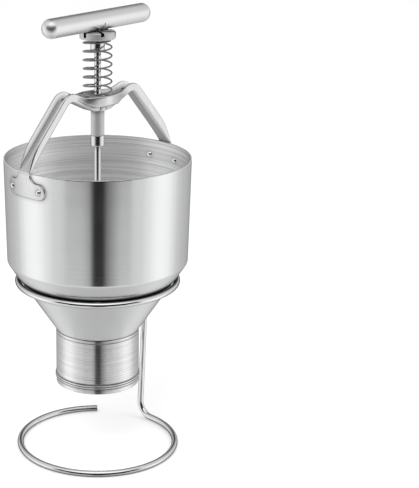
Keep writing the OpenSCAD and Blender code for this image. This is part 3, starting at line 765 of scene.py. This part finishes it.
def half_section(edge, floor, side, wide):
    """The channel's outline as (y, height), from the middle below to the middle above."""
    share = min(edge / FLANGE_H, 1.0)
    corner = CORNER_R * share
    outer = HALF_W + wide
    inner = outer - STRIP_T
    depth = edge - floor
    tip = min(EDGE_R, TIP_SHARE * edge)
    inner_tip = min(STRIP_T - EDGE_R, TIP_SHARE * depth)
    fillet = min(FILLET_SHARE * (side - corner), FILLET_R) + FILLET_HOLD
    round_in = min(ROUND_IN_R, ROUND_IN_SHARE * depth)
    foot, line, turn = [(HALF_W + out * wide, side + lift + up * wide)
                        for out, up, lift in (FLARE_FOOT, FLARE_LINE, FLARE_TURN)]
    top = (turn[0], side + TIP_HOLD * share + FLARE_RISE_SHARE * wide)
    points = [(0, 0), (HALF_W * FLAT_SHARE, 0), (HALF_W - corner, 0)]
    points += bezier(points[-1], (HALF_W, 0), (HALF_W, corner), CORNER_STEPS)
    points.append((HALF_W, min(corner + CORNER_HOLD, side - fillet - FILLET_HOLD)))
    points.append((HALF_W, side - fillet))
    points += bezier(points[-1], (HALF_W, side), foot, FILLET_STEPS)
    points.append(line)
    points += bezier(line, turn, top, FLARE_STEPS)
    points.append((outer, edge - tip - TIP_HOLD * share))
    points.append((outer, edge - tip))
    points += bezier(points[-1], (outer, edge), (outer - tip, edge), TIP_STEPS)
    points.append((inner + inner_tip, edge))
    points += bezier(points[-1], (inner, edge), (inner, edge - inner_tip), TIP_STEPS)
    points.append((inner, edge - inner_tip - FLOOR_HOLD_SHARE * depth))
    points.append((inner, floor + round_in + FLOOR_HOLD_SHARE * depth))
    points.append((inner, floor + round_in))
    points += bezier(points[-1], (inner, floor), (inner - round_in, floor), TIP_STEPS)
    points += [(inner * FLAT_SHARE, floor), (0, floor)]
    return points


def channel(verts, faces, lay):
    """The whole strip from rim to rim; lay gets each vertex's place along and across it."""
    places = stations()
    line = [(-1, place) for place in reversed(places[1:])] + [(1, place) for place in places]
    along = 0.0
    before = None
    rings = []
    for side, (point, angle, *sizes) in line:
        base = Vector((side * point.x, 0, point.y))
        if before is not None:
            along += (base - before).length
        before = base
        normal = Vector((side * math.cos(angle), 0, math.sin(angle)))
        half = half_section(*sizes)
        bent = smooth(1 - (point.y - ARM_FOOT.y) / BOW_LEN)
        outline = half + [(-y, h) for y, h in reversed(half[1:-1])]
        ring = []
        girth = 0.0
        for i, (y, h) in enumerate(outline):
            if i:
                girth += math.hypot(y - outline[i - 1][0], h - outline[i - 1][1])
            ring.append(len(verts))
            bow = bent * (ARM_FOOT.x + STRIP_T - math.sqrt((ARM_FOOT.x + STRIP_T) ** 2 - y * y))
            verts.append(tuple(base + normal * h + Vector((-side * bow, y, 0))))
            lay.append((along, girth))
        rings.append(ring)
    under = []
    for low, high in zip(rings, rings[1:]):
        count = len(low)
        for i in range(count):
            j = (i + 1) % count
            # These faces are the web's underside, which gets the painted shade
            if i < 2 or i >= count - 2:
                under.append(len(faces))
            faces.append((low[i], low[j], high[j], high[i]))
    faces.append(tuple(reversed(rings[0])))
    faces.append(tuple(rings[-1]))
    return under


TAB_END_R = TAB_H / 2
TAB_EDGE_R = 0.9
# An edge further than this from a point isn't measured for its rounding
EDGE_REACH = 2.0
# Places across the stem, and shares of the tab's height, closer at its edges
STEM_COLUMNS = (0, 2, 4, 6, 7.2, 7.7)
TAB_SHARES = (0, 0.015, 0.035, 0.06, 0.1, 0.16, 0.25, 0.37, 0.5, 0.63, 0.75, 0.84, 0.9, 0.94, 0.965,
              0.985, 1)
RIVET_Z = RIM_Z - RIVET_DROP
RIVET_Y = RIM_R * math.sin(math.radians(RIVET_ANGLE))


def tab_low(y):
    """Height of the tab's lower edge at a place across it."""
    past = max(abs(y) - RIVET_Y, 0.0)
    return RIVET_Z - math.sqrt(TAB_END_R ** 2 - past ** 2)


def tab_high(y):
    """Height of its upper edge: the stem, a hollow corner, the bar and its round end."""
    y = abs(y)
    hollow = HALF_W + TAB_HOLLOW_R - y
    if y <= HALF_W:
        return ARM_FOOT.y
    if hollow > 0:
        rise = TAB_HOLLOW_R - math.sqrt(TAB_HOLLOW_R ** 2 - hollow ** 2)
        return min(RIVET_Z + TAB_END_R + rise, ARM_FOOT.y)
    past = max(y - RIVET_Y, 0.0)
    return RIVET_Z + math.sqrt(TAB_END_R ** 2 - past ** 2)


def tab_columns():
    """Places across the tab, closer where its outline turns."""
    half = [*STEM_COLUMNS, HALF_W]
    half += [HALF_W + TAB_HOLLOW_R * (1 - math.cos(math.radians(a))) for a in range(6, 91, 7)]
    half += [RIVET_Y + TAB_END_R * math.sin(math.radians(a)) for a in (*range(0, 89, 8), 89)]
    return [-y for y in reversed(half[1:])] + half


def tab(verts, faces, lay, side):
    """One tab, as thick as the strip, laid round the hopper's wall, with rounded edges."""
    columns = tab_columns()
    outline = [Vector((y, tab_low(y))) for y in columns]
    outline += [Vector((y, tab_high(y))) for y in reversed(columns) if abs(y) > HALF_W]
    rows = len(TAB_SHARES)
    start = len(verts)

    def edge_distance(point):
        nearest = TAB_EDGE_R
        for a, b in zip(outline, outline[1:] + outline[:1]):
            if abs(a.x) <= HALF_W and a.y > RIVET_Z and abs(b.x) <= HALF_W:
                continue
            line = b - a
            if line.length < TINY or (point - a).length > line.length + EDGE_REACH:
                continue
            t = min(max((point - a).dot(line) / line.length_squared, 0.0), 1.0)
            nearest = min(nearest, (point - a - t * line).length)
        return nearest

    for layer in (0, 1):
        for y in columns:
            low, high = tab_low(y), tab_high(y)
            for share in TAB_SHARES:
                z = low + (high - low) * share
                wall = SHOULDER_R + (RIM_R - SHOULDER_R) * (z - SHOULDER_Z) / BOWL_H + STILL_GAP
                gap = TAB_EDGE_R - edge_distance(Vector((y, z)))
                depth = STRIP_T - TAB_EDGE_R + math.sqrt(TAB_EDGE_R ** 2 - gap ** 2)
                r = wall + (depth if layer else 0)
                verts.append((side * math.sqrt(r * r - y * y), y, z))
                lay.append((z, y))
    count = rows * len(columns)
    for c in range(len(columns) - 1):
        for k in range(rows - 1):
            a = start + c * rows + k
            quad = (a, a + 1, a + rows + 1, a + rows)
            faces.append(quad)
            faces.append(tuple(i + count for i in reversed(quad)))
        for k in (0, rows - 1):
            a = start + c * rows + k
            faces.append((a, a + rows, a + rows + count, a + count))
    for c in (0, len(columns) - 1):
        for k in range(rows - 1):
            a = start + c * rows + k
            faces.append((a, a + 1, a + 1 + count, a + count))


# How far the boss goes into the cup's floor
BOSS_SUNK = 1.0


def make_bridge():
    """The strip, its two tabs and the boss under the cup, in one mesh."""
    verts, faces, lay = [], [], []
    under = channel(verts, faces, lay)
    for side in (-1, 1):
        tab(verts, faces, lay, side)
    bore_r = TUBE_TOP_R + STILL_GAP
    boss_top = PLATE_Z + BOSS_SUNK
    outline = [(bore_r, DIP_Z), (BOSS_R, DIP_Z), (BOSS_R, boss_top), (bore_r, boss_top)]
    boss_verts, boss_faces = lathe(rounded(outline, BOSS_ROUND_R), ROD_SIDES)
    start = len(verts)
    verts += boss_verts
    faces += [tuple(i + start for i in face) for face in boss_faces]
    lay += [(v[0], v[1]) for v in boss_verts]
    bridge = piece("bridge_pressed", verts, faces, STRIP, "dispenser", ["bridge"],
                   sharp=50)
    # The web's underside takes the darker strip metal: painted shade
    bridge.data.materials.append(STRIP_PAINTED_SHADE)
    for i in under:
        bridge.data.polygons[i].material_index = 1
    bridge.visible_glossy = False
    layer = bridge.data.uv_layers.new(name="grain")
    for loop in bridge.data.loops:
        along, across = lay[loop.vertex_index]
        layer.data[loop.index].uv = (along * MM, across * MM)


# Guide, rod, stand, spring and the pieces inside

# The ferrule's bevel, as a share of its wall
BEVEL_SHARE = 0.25


def make_guide():
    """The tube, opened out below the bearing at its top, and the ferrule at its foot."""
    foot, top = low_z("guide_tube"), high_z("guide_tube")
    shelf = foot + TUBE_LEN
    relief = top - BEARING_H
    outline = [(TUBE_BORE_R, foot), (TUBE_R, foot), (TUBE_R, shelf), (TUBE_TOP_R, shelf),
               (TUBE_TOP_R, top), (RUN_R, top), (RUN_R, relief), (RELIEF_R, relief),
               (RELIEF_R, shelf), (TUBE_BORE_R, shelf)]
    verts, faces = lathe(rounded(outline, FINE_ROUND_R), TUBE_SIDES)
    piece("guide_tube_turned", verts, faces, GUIDE, "dispenser", ["guide_tube"])
    low, shoulder, high = low_z("guide_ferrule"), foot - DRIVEN_GAP, foot + SPIGOT_H
    bevel = (FERRULE_R - ROD_R) * BEVEL_SHARE
    spigot_r = TUBE_BORE_R - STILL_GAP
    outline = [(RUN_R, low), (FERRULE_R - bevel, low), (FERRULE_R, low + bevel),
               (FERRULE_R, shoulder), (spigot_r, shoulder), (spigot_r, high), (RUN_R, high)]
    verts, faces = lathe(rounded(outline, SOFT_ROUND_R), TUBE_SIDES)
    piece("ferrule_turned", verts, faces, BRIGHT, "dispenser", ["guide_ferrule"])


def make_rod():
    """The rod, turned down at its lower end."""
    low, high = low_z("plunger_rod"), high_z("plunger_rod")
    step = high_z("piston_nut")
    outline = [(0, low), (ROD_END_R, low), (ROD_END_R, step), (ROD_R, step), (ROD_R, high),
               (0, high)]
    verts, faces = lathe(rounded(outline, SOFT_ROUND_R), ROD_SIDES)
    piece("rod_polished", verts, faces, BRIGHT, "plunger", ["plunger_rod"])


# Steps round each of the stand's rings and bends, and round each turn of the spring
RING_STEPS, BEND_STEPS = 160, 14
TURN_STEPS = 40


def wire_path():
    """The stand's centre line, from the base ring's free end to the rest ring's."""
    base_bend = math.degrees(math.atan2(BEND_R, BASE_RING_R))
    rest_bend = math.degrees(math.atan2(BEND_R, REST_RING_R))
    base_start = FOOT_ANGLE - base_bend
    top_angle = FOOT_ANGLE - LEAN_ANGLE
    rest_start = top_angle + rest_bend
    base_sweep = 360 - BASE_GAP_ANGLE - base_bend
    rest_sweep = 360 - REST_GAP_ANGLE - rest_bend
    path = []
    for i in range(RING_STEPS + 1):
        angle = base_start - base_sweep * (1 - i / RING_STEPS)
        path.append(on_circle(BASE_RING_R, angle, WIRE_R))
    base_turn = Matrix.Rotation(math.radians(base_start), 4, "Z")
    for i in range(1, BEND_STEPS + 1):
        a = math.radians(90 * i / BEND_STEPS)
        local = Vector((BASE_RING_R, BEND_R * math.sin(a), WIRE_R + BEND_R * (1 - math.cos(a))))
        path.append(base_turn @ local)
    rest_turn = Matrix.Rotation(math.radians(rest_start), 4, "Z")
    for i in range(BEND_STEPS):
        a = math.radians(90 * (1 - i / BEND_STEPS))
        drop = BEND_R * (1 - math.cos(a))
        local = Vector((REST_RING_R, -BEND_R * math.sin(a), REST_RING_Z - drop))
        path.append(rest_turn @ local)
    for i in range(RING_STEPS + 1):
        angle = rest_start + rest_sweep * i / RING_STEPS
        path.append(on_circle(REST_RING_R, angle, REST_RING_Z))
    return path


def make_stand():
    """One bent wire: base ring, upright and rest ring."""
    verts, faces = tube(wire_path(), WIRE_R, WIRE_SIDES)
    piece("stand_bent_wire", verts, faces, STAND, "stand", ["stand_wire"])


def make_spring():
    """The coil with close turns at its ends, made at one length; the plunger squeezes it in use."""
    open_turns = COIL_TURNS - 2 * CLOSE_TURNS
    open_rise = SPRING_LEN - 2 * COIL_WIRE_R - 2 * CLOSE_TURNS * CLOSE_PITCH
    bottom = high_z("spring_seat")

    def rise(u):
        if u < CLOSE_TURNS:
            return u * CLOSE_PITCH
        if u < COIL_TURNS - CLOSE_TURNS:
            return CLOSE_TURNS * CLOSE_PITCH + (u - CLOSE_TURNS) * open_rise / open_turns
        return open_rise + CLOSE_TURNS * CLOSE_PITCH + (u - COIL_TURNS + CLOSE_TURNS) * CLOSE_PITCH

    steps = int(COIL_TURNS * TURN_STEPS)
    path = []
    for i in range(steps + 1):
        u = COIL_TURNS * i / steps
        angle = COIL_END_ANGLE + (u - COIL_TURNS) * 360
        path.append(on_circle(COIL_R, angle, bottom + COIL_WIRE_R + rise(u)))
    verts, faces = tube(path, COIL_WIRE_R, COIL_SIDES)
    spring = piece("coil_spring", verts, faces, SPRING, "spring_set",
                   ["return_spring"])
    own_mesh(spring)


def make_piston():
    """A dished disc with a rim and a hub."""
    low, high = low_z("piston"), high_z("piston")
    r = NECK_BORE_R - FREE_GAP
    rim_r = r - PISTON_RIM_W
    plate_z = low + PISTON_PLATE_T
    outline = [(END_RUN_R, low), (r - PISTON_BEVEL, low), (r, low + PISTON_BEVEL),
               (r, high - PISTON_BEVEL), (r - PISTON_BEVEL, high), (rim_r, high), (rim_r, plate_z),
               (PISTON_HUB_R, plate_z), (PISTON_HUB_R, high), (END_RUN_R, high)]
    verts, faces = lathe(rounded(outline, SOFT_ROUND_R), DISC_SIDES)
    piece("piston_turned", verts, faces, TURNED_ALU, "plunger", ["piston"])


def make_spacer():
    """The tube that keeps the piston and the disc apart."""
    low, high = low_z("spacer_tube"), high_z("spacer_tube")
    outline = [(END_RUN_R, low), (SPACER_R, low), (SPACER_R, high), (END_RUN_R, high)]
    verts, faces = lathe(rounded(outline, FINE_ROUND_R), ROD_SIDES)
    piece("spacer_turned", verts, faces, TURNED_ALU, "plunger", ["spacer_tube"])


def make_disc():
    """The disc on the lip's conical seat, hollow below for its nut."""
    low, high = low_z("closing_disc"), high_z("closing_disc")
    hollow_r = NUT_ACROSS / 2 / math.cos(math.radians(30)) + NUT_ROOM
    seat_r = NECK_BORE_R + LIP_SEAT_W * (1 - DISC_INSET / LIP_SEAT_H)
    r = NECK_BORE_R - FREE_GAP
    plate_z = low + DISC_T
    hub_r = hollow_r + DISC_T
    hub_z = high - DISC_T
    outline = [(hollow_r, low), (seat_r - FREE_GAP, low), (r, LIP_Z + LIP_SEAT_H - FREE_GAP),
               (r, plate_z), (hub_r, plate_z), (hub_r, high), (END_RUN_R, high),
               (END_RUN_R, hub_z), (hollow_r, hub_z)]
    verts, faces = lathe(rounded(outline, FINE_ROUND_R), DISC_SIDES)
    piece("disc_turned", verts, faces, TURNED_ALU, "plunger", ["closing_disc"])


make_hopper()
make_neck()
make_bridge()
make_guide()
make_rod()
make_stand()
make_spring()
make_piston()
make_spacer()
make_disc()


# Studio: white floor and background; the metal mirrors a dark gap in front, bright sides and
# a dark back

# Camera, fitted to the photograph: angles, lengths in metres, and places in its pixels
CAMERA_ANGLE = math.radians(-42.33)
CAMERA_DISTANCE = 1.3791
CAMERA_HEIGHT = 0.6471
CAMERA_PITCH = math.radians(17.555)
FOCAL_PIXELS = 1487.6
IMAGE = (419, 488)
CENTRE_PIXEL = 97.59
SENSOR = 36.0
VIEW_DEPTH = 20.0


def make_camera():
    """The photograph's camera, with its middle off the picture's."""
    data = bpy.data.cameras.new("camera")
    data.sensor_fit = "VERTICAL"
    data.sensor_height = SENSOR
    data.sensor_width = SENSOR
    data.lens = FOCAL_PIXELS / IMAGE[1] * SENSOR
    data.shift_x = (IMAGE[0] / 2 - CENTRE_PIXEL) / IMAGE[1]
    data.clip_end = VIEW_DEPTH
    camera = bpy.data.objects.new("camera", data)
    camera.location = (math.sin(CAMERA_ANGLE) * CAMERA_DISTANCE,
                       -math.cos(CAMERA_ANGLE) * CAMERA_DISTANCE, CAMERA_HEIGHT)
    camera.rotation_euler = (math.pi / 2 - CAMERA_PITCH, 0, CAMERA_ANGLE)
    bpy.context.scene.collection.objects.link(camera)
    bpy.context.scene.camera = camera


FRONT_ANGLE = CAMERA_ANGLE - math.pi / 2
# Levels round the object, from the front (0) to the back (1)
ROUND_LEVELS = ((0.0, 0.58), (0.2, 0.6), (0.3, 0.69), (0.37, 0.82), (0.41, 0.93), (0.45, 1.0),
                (0.5, 1.0), (0.55, 0.95), (0.6, 0.8), (0.66, 0.62), (0.74, 0.52), (0.85, 0.43),
                (0.91, 0.34), (0.97, 0.1), (1.0, 0.03))
# Share of the floor's and ceiling's levels, by the sine of the elevation moved to 0..1
HEIGHT_SHARES = ((0.0, 1.0), (0.12, 1.0), (0.3, 0.0), (0.57, 0.0), (0.68, 1.0), (1.0, 1.0))
# Levels of the ceiling, from the front (0) to the back (1), then of the floor round the object,
# straight below it and at the horizon
CEILING_LEVELS = ((0.0, 1.15), (0.27, 1.1), (0.42, 0.66), (0.68, 0.6), (0.84, 0.48),
                  (0.94, 0.12), (1.0, 0.08))
FLOOR_LEVEL = 0.72
UNDER_LEVEL = 0.5
HORIZON_LEVEL = 0.95
# Heights over which one zone turns into the next, as the sine of the elevation
HORIZON_LOW, HORIZON_HIGH = 0.0, 0.1
UNDER_HIGH, UNDER_LOW = -0.78, -1.02
FLOOR_TOP, CEILING_FOOT = -0.1, 0.1
# The dark gap in front: its middle, half widths below and at the horizon, and soft edge,
# as shares of half a turn, and the heights between which it widens
GAP_LEVEL = 0.012
GAP_MIDDLE, GAP_BELOW, GAP_AHEAD, GAP_SOFT = 0.006, 0.022, 0.2, 0.045
GAP_LOW, GAP_HIGH = -0.28, -0.245
# The dimmer zone round the gap: its middle, level and half width
DIM_MIDDLE, DIM_LEVEL, DIM_WIDTH = 0.03, 0.3, 0.15
# The dark room above and behind the camera: its half width and heights, each with its soft edge
ROOM_LEVEL = 0.03
ROOM_WIDTH, ROOM_SOFT = 0.3, 0.08
ROOM_LOW, ROOM_LOW_SOFT, ROOM_HIGH, ROOM_HIGH_SOFT = -0.08, 0.06, 0.55, 0.15
# Level of the whole world for what isn't a reflection, and of the background in the picture
SOFT_LEVEL, WHITE_LEVEL = 0.75, 1.0


def make_world():
    """White for the camera, even light for what is matt, and the studio's pattern for gloss."""
    world = bpy.data.worlds.new("studio")
    bpy.context.scene.world = world
    world.use_nodes = True
    tree = world.node_tree
    tree.nodes.clear()
    link = tree.links.new
    place = node(tree, "ShaderNodeTexCoord")
    apart = node(tree, "ShaderNodeSeparateXYZ")
    link(place.outputs["Generated"], apart.inputs[0])
    x, y, z = apart.outputs
    turn = math_node(tree, "SUBTRACT", math_node(tree, "ARCTAN2", y, x), FRONT_ANGLE)
    turn = math_node(tree, "DIVIDE", math_node(tree, "WRAP", turn, math.pi, -math.pi), math.pi)

    def away(middle):
        return math_node(tree, "ABSOLUTE", math_node(tree, "SUBTRACT", turn, middle))

    dim = stepped(tree, away(DIM_MIDDLE), DIM_WIDTH, 0.0)
    dim = math_node(tree, "MULTIPLY_ADD", dim, DIM_LEVEL - 1, 1.0)
    level = mixed(tree, dim, 0.0, ramp(tree, away(0.0), ROUND_LEVELS))
    level = mixed(tree, stepped(tree, z, HORIZON_LOW, HORIZON_HIGH), level, HORIZON_LEVEL)
    ahead = stepped(tree, z, GAP_LOW, GAP_HIGH)
    width = math_node(tree, "MULTIPLY_ADD", ahead, GAP_AHEAD - GAP_BELOW, GAP_BELOW)
    gap = stepped(tree, away(GAP_MIDDLE), math_node(tree, "ADD", width, GAP_SOFT), width)
    level = mixed(tree, gap, level, GAP_LEVEL)
    under = mixed(tree, stepped(tree, z, UNDER_HIGH, UNDER_LOW), FLOOR_LEVEL, UNDER_LEVEL)
    ceiling = ramp(tree, away(0.0), CEILING_LEVELS)
    ends = mixed(tree, stepped(tree, z, FLOOR_TOP, CEILING_FOOT), under, ceiling)
    height = math_node(tree, "MULTIPLY_ADD", z, 0.5, 0.5)
    studio = mixed(tree, ramp(tree, height, HEIGHT_SHARES), level, ends)
    room = math_node(tree, "MULTIPLY", stepped(tree, z, ROOM_LOW, ROOM_LOW + ROOM_LOW_SOFT),
                     stepped(tree, z, ROOM_HIGH + ROOM_HIGH_SOFT, ROOM_HIGH))
    room = math_node(tree, "MULTIPLY", room,
                     stepped(tree, away(0.0), ROOM_WIDTH + ROOM_SOFT, ROOM_WIDTH))
    studio = mixed(tree, room, studio, ROOM_LEVEL)
    path = node(tree, "ShaderNodeLightPath")
    seen = mixed(tree, path.outputs["Is Glossy Ray"], SOFT_LEVEL, studio)
    final = mixed(tree, path.outputs["Is Camera Ray"], seen, WHITE_LEVEL)
    background = node(tree, "ShaderNodeBackground", Strength=1.0)
    link(final, background.inputs["Color"])
    output = node(tree, "ShaderNodeOutputWorld")
    link(background.outputs[0], output.inputs[0])


# The floor's colour, the glow that the camera sees on it, and half its width in metres
FLOOR_COLOUR = (0.8, 0.8, 0.8, 1)
FLOOR_GLOW = 0.36
FLOOR_HALF = 6.0


def make_floor():
    """A matt floor, which the camera alone sees lifted to the background's white."""
    material = bpy.data.materials.new("floor_white")
    material.use_nodes = True
    tree = material.node_tree
    tree.nodes.clear()
    link = tree.links.new
    matte = node(tree, "ShaderNodeBsdfDiffuse", Color=FLOOR_COLOUR)
    glow = node(tree, "ShaderNodeEmission", Color=(1, 1, 1, 1))
    path = node(tree, "ShaderNodeLightPath")
    level = math_node(tree, "MULTIPLY", path.outputs["Is Camera Ray"], FLOOR_GLOW)
    link(level, glow.inputs["Strength"])
    both = node(tree, "ShaderNodeAddShader")
    link(matte.outputs[0], both.inputs[0])
    link(glow.outputs[0], both.inputs[1])
    output = node(tree, "ShaderNodeOutputMaterial")
    link(both.outputs[0], output.inputs[0])
    corners = [(-FLOOR_HALF, -FLOOR_HALF, 0), (FLOOR_HALF, -FLOOR_HALF, 0),
               (FLOOR_HALF, FLOOR_HALF, 0), (-FLOOR_HALF, FLOOR_HALF, 0)]
    mesh = bpy.data.meshes.new("floor")
    mesh.from_pydata(corners, [], [(0, 1, 2, 3)])
    mesh.materials.append(material)
    floor = bpy.data.objects.new("floor", mesh)
    floor.visible_glossy = False
    bpy.context.scene.collection.objects.link(floor)


# Lamps, each as its name, place and size in metres, and power in watts
LAMPS = (("key", (-1.2, -0.6, 2.0), 1.5, 18), ("fill", (1.4, -1.6, 1.6), 1.8, 10))


def lamp(name, location, size, power):
    """A round soft lamp that faces the frame's middle and isn't mirrored in the metal."""
    data = bpy.data.lights.new(name, "AREA")
    data.shape = "DISK"
    data.size = size
    data.energy = power
    made = bpy.data.objects.new(name, data)
    made.location = location
    made.rotation_euler = (-Vector(location)).to_track_quat("-Z", "Y").to_euler()
    made.visible_glossy = False
    bpy.context.scene.collection.objects.link(made)


make_camera()
make_world()
make_floor()
for values in LAMPS:
    lamp(*values)
bpy.context.scene.view_settings.view_transform = "Standard"
